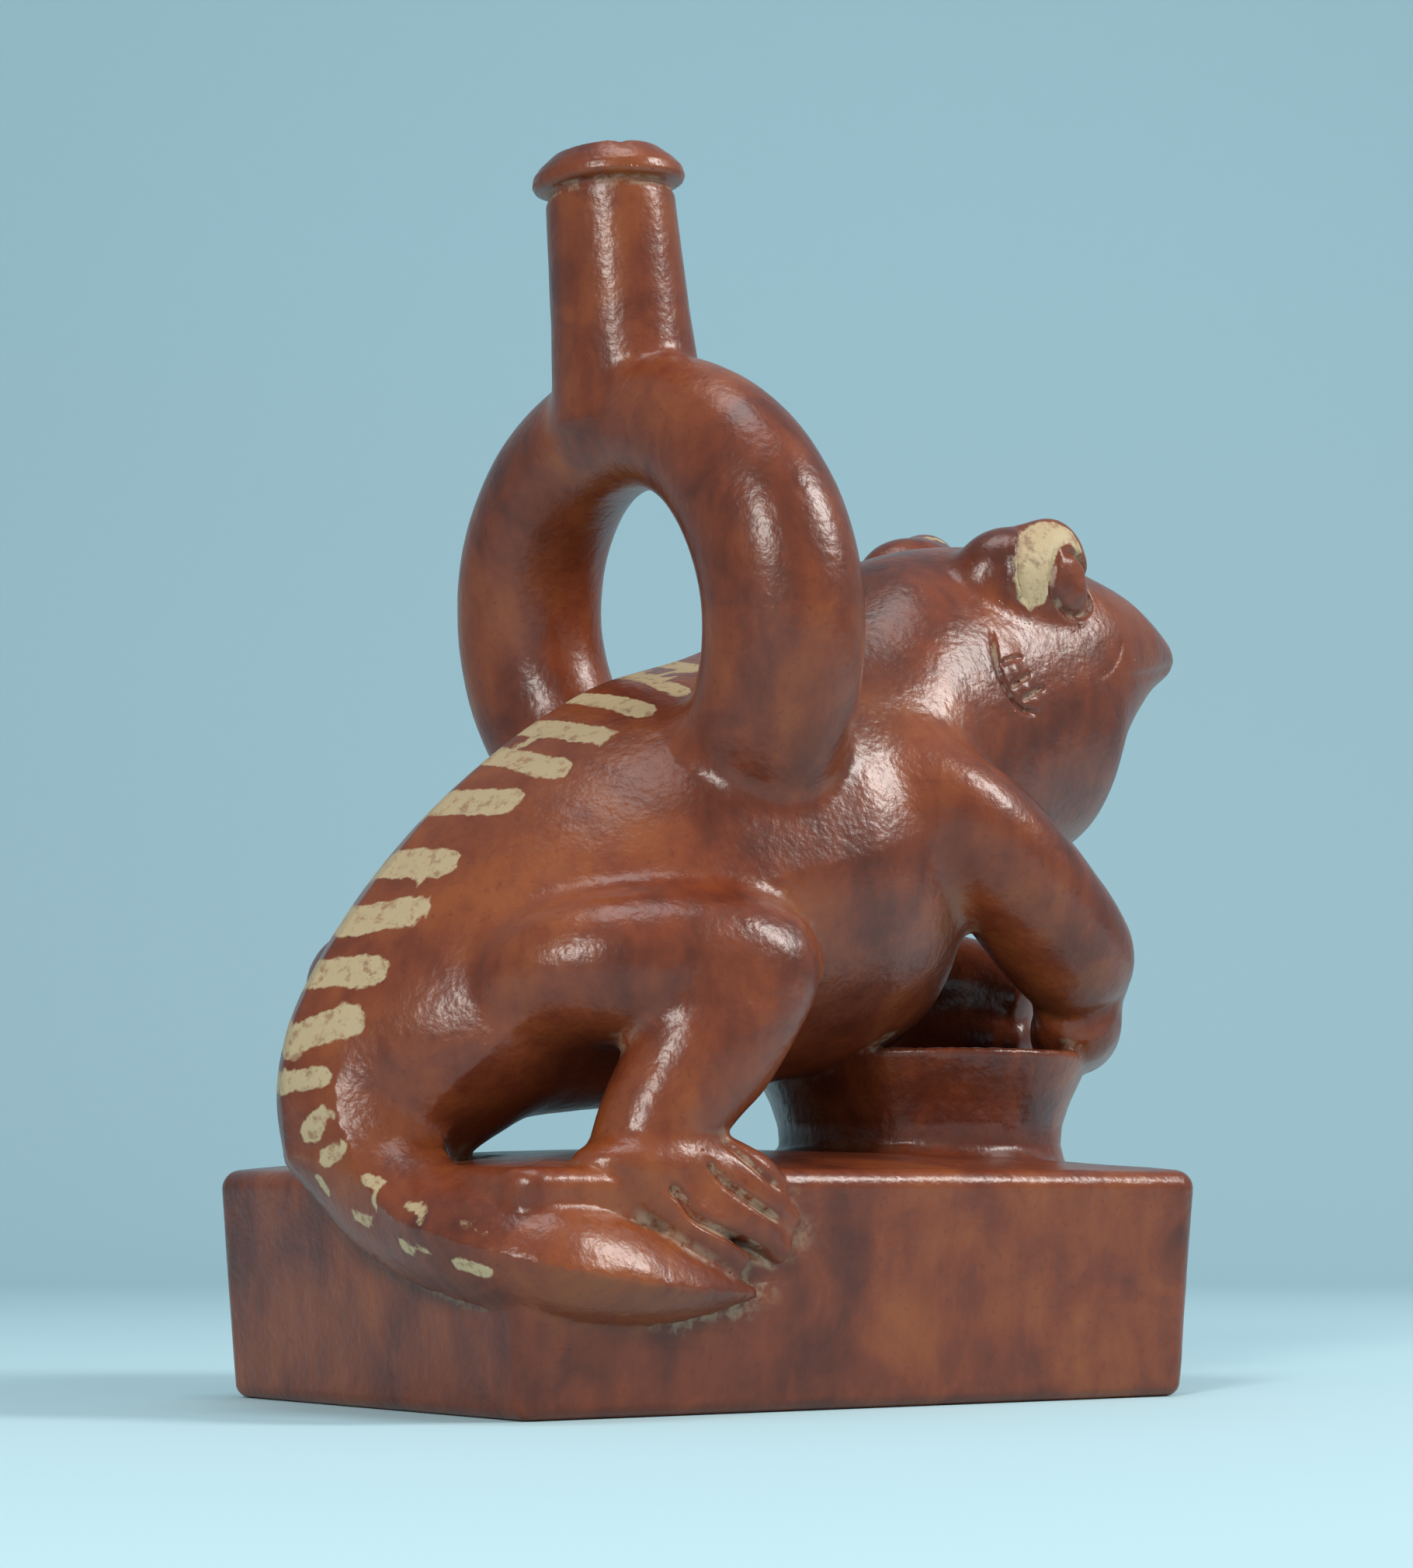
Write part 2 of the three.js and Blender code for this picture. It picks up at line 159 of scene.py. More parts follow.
body = {
    # back x, back z, belly x, belly z, half width, keel
    "ribs": [
        (-85.8, 43, -56, 36, 13, 0.45),
        (-86.9, 56, -54, 41.5, 18.5, 0.5),
        (-83.2, 69, -49, 45.6, 27, 0.5),
        (-69.8, 88.7, -44, 48.2, 34.5, 0.45),
        (-51.5, 107.8, -30, 50.2, 39, 0.35),
        (-27, 124.5, -10, 52, 42.8, 0.25),
        (-3.5, 133, 12, 56, 43.6, 0.15),
        (17, 143.5, 36, 63, 38, 0.1),
        (32, 152.5, 43.5, 80.8, 31.6, 0),
        (45, 157, 66.5, 94.4, 28, 0),
        (56, 158.5, 84, 104.6, 26, 0),
        (70, 158.5, 91, 120.5, 23, 0),
        (87, 154.6, 100.5, 131.5, 16.5, 0),
        (100, 148, 107.5, 136.5, 10, 0),
        (107.5, 143.8, 110.7, 139, 4.5, 0),
    ],
    "snoutCap": 1.0,
    "tailCap": 3.0,
}


def bodyForm():
    ribs = np.array(body["ribs"], float)
    share = np.linspace(0, 1, 420)
    nothing = np.zeros(len(ribs))
    back = alongStations(np.c_[ribs[:, 0], nothing, ribs[:, 1]], share)
    belly = alongStations(np.c_[ribs[:, 2], nothing, ribs[:, 3]], share)
    size = alongStations(np.c_[ribs[:, 4], ribs[:, 5], nothing], share)
    middle = (back + belly) / 2
    up = back - middle
    tall = np.linalg.norm(up, axis=1)
    up /= tall[:, None]
    table = np.c_[middle[:, [0, 2]], up[:, [0, 2]], tall, size[:, :2]]
    # which rib each place of the side view lies on
    xs, zs = np.arange(-110, 131, 1.0), np.arange(15, 186, 1.0)
    gx, gz = np.meshgrid(xs, zs, indexing="ij")
    rib = np.zeros(gx.shape)
    for a in range(len(xs)):
        x, z = gx[a][:, None] - table[None, :, 0], gz[a][:, None] - table[None, :, 1]
        u = (x * table[:, 2] + z * table[:, 3]) / tall
        s = x * table[:, 3] - z * table[:, 2]
        cross = (s[:, :-1] >= 0) & (s[:, 1:] < 0)
        score = np.where(cross, np.abs(u[:, :-1]), 1e6)
        i = score.argmin(1)
        found = score[np.arange(len(i)), i] < 3
        w = s[np.arange(len(i)), i] / (s[np.arange(len(i)), i] - s[np.arange(len(i)), i + 1] + 1e-12)
        over = np.maximum(np.abs(u) - 1, 0) * tall
        nearest = (s**2 + over**2).argmin(1)
        rib[a] = np.where(found, i + w, nearest)

    def measure(p, grow):
        fx = np.clip(p[:, 0] - xs[0], 0, len(xs) - 1.001)
        fz = np.clip(p[:, 2] - zs[0], 0, len(zs) - 1.001)
        i, j = fx.astype(int), fz.astype(int)
        u, v = fx - i, fz - j
        t = (rib[i, j] * (1 - u) + rib[i + 1, j] * u) * (1 - v)
        t += (rib[i, j + 1] * (1 - u) + rib[i + 1, j + 1] * u) * v
        k = np.minimum(t.astype(int), len(table) - 2)
        w = (t - k)[:, None]
        row = table[k] * (1 - w) + table[k + 1] * w
        x, z = p[:, 0] - row[:, 0], p[:, 2] - row[:, 1]
        rise = x * row[:, 2] + z * row[:, 3]
        off = x * row[:, 3] - z * row[:, 2]
        high, wide = row[:, 4] + grow, row[:, 5] + grow
        keel = np.where(rise > 0, row[:, 6], 0)
        reach = sectionReach(p[:, 1] / wide, rise / high, keel)
        a, b = rise / (high * reach), p[:, 1] / (wide * reach)
        cap = np.where(t < 1, body["tailCap"], body["snoutCap"])
        ends = (t < 0.5) & (off < 0) | (t > len(table) - 1.6) & (off > 0)
        c = np.where(ends, off / cap, 0)
        k0 = np.sqrt(a * a + b * b + c * c) + 1e-6
        k1 = np.sqrt((a / (high * reach)) ** 2 + (b / (wide * reach)) ** 2 + (c / cap) ** 2) + 1e-6
        return k0 * (k0 - 1) / k1

    lo, hi = (-90, -48, 30), (114, 48, 166)
    return lambda p, grow=0.0, pad=10.0: nearOnly(p, lo, hi, pad, lambda q: measure(q, grow))


limbs = {
    "tail": [
        (-71, 0, 62, 11, 1, 0.1),
        (-73.5, -2, 49, 13.2, 1, 0.3),
        (-73, -10, 38.5, 11.6, 1, 0.4),
        (-72.8, -22, 31.8, 10.2, 1, 0.55),
        (-72, -36.6, 28.2, 9.9, 1, 0.6),
        (-67, -46.6, 25.6, 9.9, 1, 0.6),
        (-55.5, -49.6, 23.4, 9.0, 1, 0.6),
        (-41, -50.8, 21.0, 6.0, 1, 0.7),
        (-27, -50.3, 19.5, 1, 1, 0.6),
    ],
    "thigh": [
        (-60, 25, 71, 7),
        (-55, 29.5, 72, 10.6),
        (-48, 34, 72.8, 12.3),
        (-36, 38, 73.2, 13.5),
        (-25, 41.3, 74.2, 12.3),
        (-16, 43.5, 74.6, 9),
        (-11, 44, 74.3, 4.5),
    ],
    "shin": [
        (-15.5, 43.5, 79, 4.6),
        (-20.5, 43.8, 73, 10.4, 0.9),
        (-32, 43.8, 60.7, 12.9, 0.8),
        (-37, 43.5, 54, 11.5, 0.84),
        (-41.6, 43.2, 47.3, 10.2, 0.88),
        (-43.5, 43.2, 38, 11.6, 0.75),
    ],
    "heel": ((-43.5, 44.8, 40.4), (15.2, 8.4, 5.4)),
    "sole": ((-40, 47.2, 37.5), (12.5, 5.6, 7.5)),
    # x and z of a toe's root, then of its tip, and its radius
    "toes": [
        (-49, 37.5, -31, 24.6, 4.4),
        (-40, 38, -21.8, 26.4, 3.9),
        (-36, 41, -20, 31.6, 3.5),
        (-32, 42.4, -22.4, 37.6, 2.8),
    ],
    "arm": [
        (12, 23, 109, 8),
        (22, 31, 106.5, 10.8),
        (32, 34, 100.7, 12),
        (42.5, 33.7, 93, 12.2),
        (53.5, 30.7, 85.4, 12.2),
        (62.5, 27, 79.8, 11.6),
        (69, 21.5, 77.6, 10),
        (75.5, 14.5, 76, 8.6),
        (80, 7.5, 73.5, 7),
    ],
    "hand": [
        (65, 26, 69.6, 7.2),
        (67.5, 23, 68, 8.2),
        (72.6, 16.3, 66.5, 8.3),
        (77, 8.5, 65, 6.8),
        (78, 5.5, 64.5, 4),
    ],
    "brow": ((58.4, 17, 149.8), (13.4, 8.5, 10.5)),
    "browTop": ((64, 20.3, 152.6), (8, 5.4, 9.5)),
    "eye": ((66.9, 20.6, 148.5), (4.2, 5.0, 4.5)),
    "eyeTip": ((63.9, 20.2, 152.4), (2.4, 4.6, 3.8)),
    "leftBrowShift": (3.2, 0, 3.2),  # the left brow sits further forward and higher
}


def limbForms():
    made = {}
    made["tail"] = tube(limbs["tail"], (-0.7, -0.7, 0))
    made["thigh"] = tube(limbs["thigh"], (0, 1, 0), 70)
    made["shin"] = tube(limbs["shin"], (0, 1, 0), 70)
    made["heel"] = ball(*limbs["heel"])
    made["sole"] = ball(*limbs["sole"])
    made["toes"] = []
    for x, z, tipX, tipZ, r in limbs["toes"]:
        way = [(x, 46.8, z, r), ((x + tipX) / 2, 50, (z + tipZ) / 2, r), (tipX, 50.4, tipZ, r * 0.6)]
        made["toes"].append(tube(way, (0, 1, 0), 24, 0.5))
    made["arm"] = tube(limbs["arm"], (0.5, 1, 0))
    made["hand"] = tube(limbs["hand"], (0.7, 0.7, 0), 60)
    return made


boxBase = {"length": 147.1, "width": 101.9, "height": 40.1, "inset": 3.3, "dome": 3.6,
           "corner": 6.0, "edge": 3.6}
bowl = {"x": 48.2, "floor": 41.5, "rim": 62.0, "foot": 26.1, "mouth": 32.3, "wall": 3.6}
stirrup = {"x": -13.6, "z": 137.3, "lean": math.radians(6.3), "wide": 40.0, "tall": 36.5,
           "right": 14.2, "left": 13.4, "crown": 12.1, "leftAhead": 6.0, "bore": 7.6,
           "below": math.radians(58)}
spout = {"height": 223.8, "length": 52.0, "foot": 14.2, "neck": 11.6, "lip": 13.8, "lipHeight": 7.5,
         "mouth": 7.2}


def roundedBox(p, halfX, halfY, corner):
    qx, qy = np.abs(p[:, 0]) - (halfX - corner), np.abs(p[:, 1]) - (halfY - corner)
    return np.hypot(np.maximum(qx, 0), np.maximum(qy, 0)) + np.minimum(np.maximum(qx, qy), 0) - corner


def roundMeet(a, b, r):
    # Inside of both a and b, with the edge between them rounded.
    x, y = np.maximum(a + r, 0), np.maximum(b + r, 0)
    return np.hypot(x, y) - r + np.minimum(np.maximum(a + r, b + r), 0)


def baseForm(p):
    b = boxBase
    inset = b["inset"] * np.clip(1 - p[:, 2] / b["height"], 0, 1)
    side = roundedBox(p, b["length"] / 2, b["width"] / 2, b["corner"]) + inset
    share = np.clip((-side - b["edge"]) / (b["width"] / 2 - b["edge"]), 0, 1)
    top = p[:, 2] - (b["height"] + b["dome"] * np.sin(share * math.pi / 2))
    d = roundMeet(side, top, b["edge"])
    return roundMeet(d, -p[:, 2], 2.4)


def baseRoom(p):
    b, w = boxBase, clay["wall"]
    inset = b["inset"] * np.clip(1 - p[:, 2] / b["height"], 0, 1)
    side = roundedBox(p, b["length"] / 2 - w, b["width"] / 2 - w, b["corner"]) + inset
    return roundMeet(roundMeet(side, p[:, 2] - (b["height"] - w), 3.0), w - p[:, 2], 3.0)


def turnedForm(profile):
    # Distance to a profile of (radius, height) turned about Z, closed on the axis.
    a = np.array(profile, float)
    b = np.roll(a, -1, 0)
    lo = (-a[:, 0].max(), -a[:, 0].max(), a[:, 1].min())
    hi = (a[:, 0].max(), a[:, 0].max(), a[:, 1].max())

    def measure(p):
        r, z = np.hypot(p[:, 0], p[:, 1]), p[:, 2]
        best = np.full(len(p), 1e9)
        inside = np.zeros(len(p), bool)
        for (ax, az), (bx, bz) in zip(a, b):
            ex, ez = bx - ax, bz - az
            w = np.clip(((r - ax) * ex + (z - az) * ez) / (ex * ex + ez * ez + 1e-12), 0, 1)
            on = np.hypot(r - ax - w * ex, z - az - w * ez)
            if abs(ax) > 1e-6 or abs(bx) > 1e-6:  # the axis itself is no surface
                best = np.minimum(best, on)
            crosses = (az > z) != (bz > z)
            inside ^= crosses & (r < (bx - ax) * (z - az) / (bz - az + 1e-12) + ax)
        return np.where(inside, -best, best)

    return lambda p, pad=8.0: nearOnly(p, lo, hi, pad, measure)


def bowlProfile():
    b = bowl
    z, foot, rim = b["floor"], b["foot"], b["mouth"]
    return [
        (0, z - 4), (foot + 0.8, z - 4), (foot + 0.8, z + 0.6), (foot + 0.1, z + 3.5), (foot + 0.4, z + 7),
        (foot + 1.7, z + 11), (rim - 2.3, z + 15.5), (rim - 0.6, b["rim"] - 1.4), (rim - 0.7, b["rim"] - 0.3),
        (rim - 1.5, b["rim"]), (rim - b["wall"] + 0.5, b["rim"] - 0.2),
        (rim - b["wall"] - 0.2, b["rim"] - 1.4),
        (rim - b["wall"] - 2, z + 14), (foot - 2, z + 9), (foot - 7, z + 5.5), (0, z + 4.6),
    ]


spout["top"] = (spout["height"] - stirrup["z"]) / math.cos(stirrup["lean"]) - 0.9
spout["bottom"] = spout["top"] - spout["length"]


def spoutProfile():
    s = spout
    neck = s["top"] - s["lipHeight"]
    return [
        (0, s["bottom"] - 3), (s["foot"] - 4, s["bottom"] - 3), (s["foot"] - 0.2, s["bottom"] + 3),
        (s["foot"] - 0.8, s["bottom"] + 10), (s["foot"] - 1.6, s["bottom"] + 22),
        (s["neck"] + 0.35, neck - 8),
        (s["neck"] + 0.05, neck - 1.5), (s["neck"] - 0.1, neck - 0.3), (s["neck"] + 0.3, neck + 0.5),
        (s["lip"] - 0.5, neck + 1.2), (s["lip"], neck + 2.2), (s["lip"] - 0.35, neck + 3.8),
        (s["lip"] - 1.6, neck + 5.4), (s["lip"] - 3.3, neck + 6.9), (s["mouth"] + 2.6, s["top"]),
        (s["mouth"] + 1.2, s["top"] - 0.1), (s["mouth"] + 0.3, s["top"] - 1.2), (s["mouth"], s["top"] - 3),
        (s["mouth"], s["top"] - 14), (0, s["top"] - 14),
    ]


def inStirrupFrame(p):
    c, s = math.cos(stirrup["lean"]), math.sin(stirrup["lean"])
    x, z = p[:, 0] - stirrup["x"], p[:, 2] - stirrup["z"]
    return np.c_[x * c + z * s, p[:, 1], z * c - x * s]


def stirrupWay(radius):
    share = np.linspace(0, 1, 40)
    turn = share * math.pi + (2 * share - 1) * stirrup["below"]
    ahead = stirrup["leftAhead"] * share * ((1 - np.sin(turn)) / 2) ** 2
    rows = np.c_[ahead, -stirrup["wide"] * np.cos(turn), stirrup["tall"] * np.sin(turn), radius(share, turn)]
    return tube(rows.tolist(), (1, 0, 0), 160)


def stirrupRadius(share, turn):
    leg = stirrup["right"] + (stirrup["left"] - stirrup["right"]) * share
    return leg + (stirrup["crown"] - leg) * np.maximum(0, np.sin(turn)) ** 3


marks = {
    # path, depth, half width
    "ear": [
        ([(45.4, 138.4), (44.4, 133.6), (44.7, 129.6), (46.6, 126.2),
          (49.6, 124.2), (53.4, 123.6)], 1.1, 0.6),
        ([(45.3, 131.9), (47.9, 133.2), (51.6, 134.1)], 0.6, 0.42),
        ([(47.0, 127.8), (49.8, 129.5), (52.8, 131.0)], 0.7, 0.42),
        ([(49.4, 125.6), (52.8, 127.3), (56.2, 128.8)], 0.7, 0.42),
    ],
    "earFlakes": [  # centre, height, radius of the raised flakes between the cuts
        (48.2, 134.6, 0.25, 1.8),
        (48.6, 131.2, 0.55, 1.9),
        (51.2, 128.2, 0.55, 1.8),
        (53.6, 125.6, 0.5, 1.7),
    ],
    "eyeLid": [
        ([(61.8, 155.7), (60.2, 151.6), (60.0, 147.9), (62.0, 145.3), (66.4, 143.6), (70.4, 144.4),
          (72.6, 147.2), (71.4, 151.2), (68.0, 154.4), (61.8, 155.7)], 0.95, 0.75),
        ([(62.6, 154.4), (66.4, 154.9), (69.5, 152.9), (70.8, 149.9)], 0.5, 0.8),
    ],
    "browRim": [
        ([(55.0, 158.9), (52.6, 155.6), (51.7, 151.8), (51.9, 148.2), (53.6, 145.2)], 0.8, 0.7),
    ],
    "browFurrow": [
        ([(57.2, 160.0), (53.8, 155.4), (52.8, 151.6), (53.1, 148.0), (54.9, 144.6)], 0.55, 0.5),
    ],
    "mouth": [
        ([(110.2, 141.4), (104.0, 138.6), (96.0, 136.2), (88.0, 134.4), (80.4, 133.4)], 0.3, 0.9),
    ],
    "cheek": [
        ([(79.4, 140.4), (78.6, 138.0), (77.1, 135.7), (74.4, 133.4), (70.5, 131.8)], 0.22, 0.6),
    ],
    "nostril": ((104.6, 146.2), 0.8, 0.75),
    "footGrooves": [
        ([(-46.0, 37.2), (-43.6, 35.0), (-41.2, 31.9), (-33.7, 28.8), (-24.0, 25.3)], 1.5, 0.9),
        ([(-38.6, 41.0), (-36.3, 38.8), (-30.8, 35.0), (-23.8, 31.2)], 1.2, 0.75),
        ([(-33.4, 44.4), (-31.6, 42.6), (-28.1, 39.4), (-23.6, 36.2)], 0.8, 0.7),
    ],
}


def nearPath(u, v, path, smooth=6):
    # Distance in a side view to a path, and how far along it the nearest place lies.
    rows = np.array([(a, 0.0, b) for a, b in path])
    fine = alongStations(rows, np.linspace(0, 1, smooth * (len(path) - 1) + 1))[:, [0, 2]]
    best = np.full(len(u), 1e9)
    along = np.zeros(len(u))
    for k in range(len(fine) - 1):
        ex, ez = fine[k + 1] - fine[k]
        w = np.clip(((u - fine[k, 0]) * ex + (v - fine[k, 1]) * ez) / (ex * ex + ez * ez), 0, 1)
        d = np.hypot(u - fine[k, 0] - w * ex, v - fine[k, 1] - w * ez)
        along = np.where(d < best, (k + w) / (len(fine) - 1), along)
        best = np.minimum(best, d)
    return best, along


def cut(u, v, path, depth, width):
    d, along = nearPath(u, v, path)
    taper = np.clip(np.minimum(along, 1 - along) * 7 + 0.15, 0, 1)
    return depth * taper * np.exp(-((d / width) ** 2))


def headMarks(p):
    # Depth of the marks on the right side of the head; the left side gets them shifted and plainer.
    right = p[:, 1] < 0
    shift = np.array(limbs["leftBrowShift"])
    u = np.where(right, p[:, 0], p[:, 0] - shift[0] * 0.8)
    v = np.where(right, p[:, 2], p[:, 2] - shift[2] * 0.8)
    far = np.abs(p[:, 1])
    depth = np.zeros(len(p))
    for path, deep, wide in marks["eyeLid"]:
        depth += cut(u, v, path, deep, wide) * (far > 17)
    for path, deep, wide in marks["browRim"]:
        depth -= cut(u, v, path, deep, wide) * (far > 14)
    for path, deep, wide in marks["browFurrow"]:
        depth += cut(u, v, path, deep, wide) * (far > 14)
    for path, deep, wide in marks["cheek"]:
        depth += cut(u, v, path, deep, wide) * (far > 14)
    u, v = p[:, 0], p[:, 2]
    for path, deep, wide in marks["ear"]:
        depth += cut(u, v, path, deep, wide) * (far > 18)
    for x, z, high, r in marks["earFlakes"]:
        depth -= high * np.exp(-((np.hypot(u - x, v - z) / r) ** 2)) * (far > 18)
    for path, deep, wide in marks["mouth"]:
        depth += cut(u, v, path, deep, wide)
    (x, z), deep, wide = marks["nostril"]
    depth += deep * np.exp(-((np.hypot(u - x, v - z) / wide) ** 2)) * (far > 3.5)
    return depth


def footMarks(p):
    depth = np.zeros(len(p))
    for path, deep, wide in marks["footGrooves"]:
        depth += cut(p[:, 0], p[:, 2], path, deep, wide)
    return depth * (np.abs(p[:, 1]) > 46)


def lipMarks(q):
    # In the spout's frame: the undercut dips on the left of the front, and the flat top has a nick.
    turn = np.arctan2(q[:, 1], q[:, 0])
    r = np.hypot(q[:, 0], q[:, 1])
    neck = spout["top"] - spout["lipHeight"]
    slant = 0.7 * np.cos(turn + 2.3) + 0.25 * np.cos(3 * turn + 1.0)
    depth = 0.45 * np.exp(-(((q[:, 2] - neck + 0.1 - slant) / 0.8) ** 2)) * (r > 9)
    depth += 0.35 * np.exp(-(((turn + 1.9) / 0.12) ** 2)) * np.exp(-(((q[:, 2] - spout["top"]) / 1.4) ** 2))
    depth += 0.18 * np.cos(2 * turn + 0.6) * np.exp(-(((q[:, 2] - spout["top"]) / 2.5) ** 2))
    return depth


def markDepth(p):
    depth = np.zeros(len(p))
    for lo, hi, measure in (
        ((40, -34, 118), (114, 34, 164), headMarks),
        ((-58, -62, 20), (-12, 62, 50), footMarks),
    ):
        inside = ((p > lo) & (p < hi)).all(1)
        if inside.any():
            depth[inside] += measure(p[inside])
    inside = p[:, 2] > 205
    if inside.any():
        depth[inside] += lipMarks(inStirrupFrame(p[inside]))
    return depth


joins = {  # how softly one form runs into the next, in mm
    "tail": 5.0, "thigh": 4.5, "shin": 3.0, "foot": 2.0, "toes": 3.6, "arm": 5.0, "hand": 3.0,
    "brow": 3.5, "eye": 0.7, "bowlToBase": 2.6, "animalToBase": 0.8,
    "stirrup": 4.0, "spout": 2.2,
}

bodyShape = bodyForm()
limbShapes = limbForms()
browShapes = {
    -1: [ball(*limbs[n]) for n in ("brow", "browTop", "eye", "eyeTip")],
    1: [ball(tuple(np.add(limbs[n][0], limbs["leftBrowShift"])), limbs[n][1])
        for n in ("brow", "browTop", "eye", "eyeTip")],
}
bowlShape = turnedForm(bowlProfile())
spoutShape = turnedForm(spoutProfile())
stirrupShape = stirrupWay(stirrupRadius)
stirrupRoom = stirrupWay(lambda share, turn: np.full_like(share, stirrup["bore"]))
hipPassage = tube([(-66, 0, 30.1, 6), (-67, 0, 45, 6), (-68, 0, 60, 6)], (1, 0, 0), 20)
spoutRoom = turnedForm([
    (0, spout["bottom"] + 6), (spout["mouth"], spout["bottom"] + 6), (spout["mouth"], spout["top"] - 3),
    (spout["mouth"] + 0.4, spout["top"] - 1), (spout["mouth"] + 1.6, spout["top"] + 1.2),
    (0, spout["top"] + 1.2),
])


def animalDistance(p):
    sides = [(-1, mirrored(p)), (1, p)]
    d = bodyShape(p)
    d = blend(d, limbShapes["tail"](p), joins["tail"])
    for side, q in sides:
        d = blend(d, limbShapes["thigh"](q), joins["thigh"])
        d = blend(d, limbShapes["shin"](q), joins["shin"])
        foot = blend(limbShapes["heel"](q), limbShapes["sole"](q), joins["foot"])
        for toe in limbShapes["toes"]:
            foot = blend(foot, toe(q), joins["toes"])
        d = blend(d, foot, joins["foot"])
        d = blend(d, limbShapes["arm"](q), joins["arm"])
        d = blend(d, limbShapes["hand"](q), joins["hand"])
        brow, browTop, eye, eyeTip = (shape(q) for shape in browShapes[side])
        d = blend(d, blend(brow, browTop, joins["brow"]), joins["brow"])
        d = blend(d, blend(eye, eyeTip, 2.5), joins["eye"])
    return d


def outsideDistance(p):
    q = inStirrupFrame(p)
    ground = nearOnly(p, (-74, -51, 0), (74, 51, 44), 8, baseForm)
    vesselBowl = bowlShape(p - np.array([bowl["x"], 0, 0]))
    ground = blend(ground, vesselBowl, joins["bowlToBase"])
    d = blend(animalDistance(p), ground, joins["animalToBase"])
    ring = blend(stirrupShape(q), spoutShape(q), joins["spout"])
    return blend(d, ring, joins["stirrup"])


def roomDistance(p):
    q = inStirrupFrame(p)
    wall = clay["wall"]
    room = bodyShape(p, -wall)
    room = np.maximum(room, p[:, 0] - 92)
    room = np.minimum(room, nearOnly(p, (-70, -47, wall), (70, 47, 36), 8, baseRoom))
    for other in (hipPassage(p), stirrupRoom(q), spoutRoom(q)):
        room = np.minimum(room, other)
    return room


def clayDistance(p):
    # Below zero inside the clay, above it in the air, in mm.
    p = np.asarray(p, float)
    outside = outsideDistance(p) + markDepth(p)
    return np.maximum(outside, -roomDistance(p))


def surfaceNormal(p, step=0.25):
    grad = np.empty_like(p)
    for axis in range(3):
        shift = np.zeros(3)
        shift[axis] = step
        grad[:, axis] = clayDistance(p + shift) - clayDistance(p - shift)
    size = np.linalg.norm(grad, axis=1) + 1e-9
    return grad / size[:, None], size / (2 * step)


def ontoSurface(p, rounds=2, farthest=0.6, step=0.2):
    for _ in range(rounds):
        here = clayDistance(p)
        slope = np.stack([clayDistance(p + np.eye(3)[axis] * step) - here for axis in range(3)], 1) / step
        size = np.linalg.norm(slope, axis=1) + 1e-9
        move = np.clip(here / np.maximum(size, 0.4), -farthest, farthest)
        p = p - slope / size[:, None] * move[:, None]
    return p


def meshedClay(step):
    lo, hi = np.array([-94.0, -66.0, -4.0]), np.array([118.0, 62.0, 230.0])
    blocks = 4
    count = np.ceil((hi - lo) / (step * blocks)).astype(int)
    centre = np.stack(np.meshgrid(*[lo[k] + (np.arange(count[k]) + 0.5) * step * blocks for k in range(3)],
                                  indexing="ij"), -1)
    coarse = clayDistance(centre.reshape(-1, 3)).reshape(count)
    close = np.abs(coarse) < step * blocks * 1.25
    size = count * blocks
    field = np.repeat(np.repeat(np.repeat(coarse, blocks, 0), blocks, 1), blocks, 2).astype(np.float32)
    live = np.repeat(np.repeat(np.repeat(close, blocks, 0), blocks, 1), blocks, 2)
    at = np.argwhere(live)
    for a in range(0, len(at), 400000):
        part = at[a : a + 400000]
        field[tuple(part.T)] = clayDistance(lo + (part + 0.5) * step)
    print("clay: grid", tuple(size), "with", len(at), "live points")
    solid = field < 0
    # one vertex for each cell whose corners differ
    corner = [(i, j, k) for i in (0, 1) for j in (0, 1) for k in (0, 1)]
    cells = size - 1

    def shifted(a, c):
        return a[c[0] : c[0] + cells[0], c[1] : c[1] + cells[1], c[2] : c[2] + cells[2]]

    total = np.zeros(cells, np.int8)
    for c in corner:
        total += shifted(solid, c)
    mixed = np.argwhere((total > 0) & (total < 8))
    number = np.full(cells, -1, np.int32)
    number[tuple(mixed.T)] = np.arange(len(mixed))
    values = np.stack([field[tuple((mixed + c).T)] for c in corner], 1)
    place, hits = np.zeros((len(mixed), 3)), np.zeros(len(mixed))
    for a, ca in enumerate(corner):
        for b, cb in enumerate(corner):
            if sum(cb) - sum(ca) == 1 and all(m <= n for m, n in zip(ca, cb)):
                va, vb = values[:, a], values[:, b]
                crossing = (va < 0) != (vb < 0)
                w = np.where(crossing, va / (va - vb + 1e-12), 0)[:, None]
                spot = np.array(ca) * (1 - w) + np.array(cb) * w
                place += spot * crossing[:, None]
                hits += crossing
    verts = lo + (mixed + place / hits[:, None] + 0.5) * step
    quads = []
    for axis in range(3):
        ahead = [0, 0, 0]
        ahead[axis] = 1
        one = solid[1 : cells[0], 1 : cells[1], 1 : cells[2]]
        two = solid[1 + ahead[0] : cells[0] + ahead[0], 1 + ahead[1] : cells[1] + ahead[1],
                    1 + ahead[2] : cells[2] + ahead[2]]
        edge = np.argwhere(one != two) + 1
        out = solid[tuple(edge.T)]
        u, v = np.zeros(3, int), np.zeros(3, int)
        u[(axis + 1) % 3], v[(axis + 2) % 3] = 1, 1
        quadCorners = ((1, 1), (0, 1), (0, 0), (1, 0))
        ring = np.stack([number[tuple((edge - a * u - b * v).T)] for a, b in quadCorners], 1)
        quads.append(np.where(out[:, None], ring, ring[:, ::-1]))
    return verts, np.concatenate(quads)


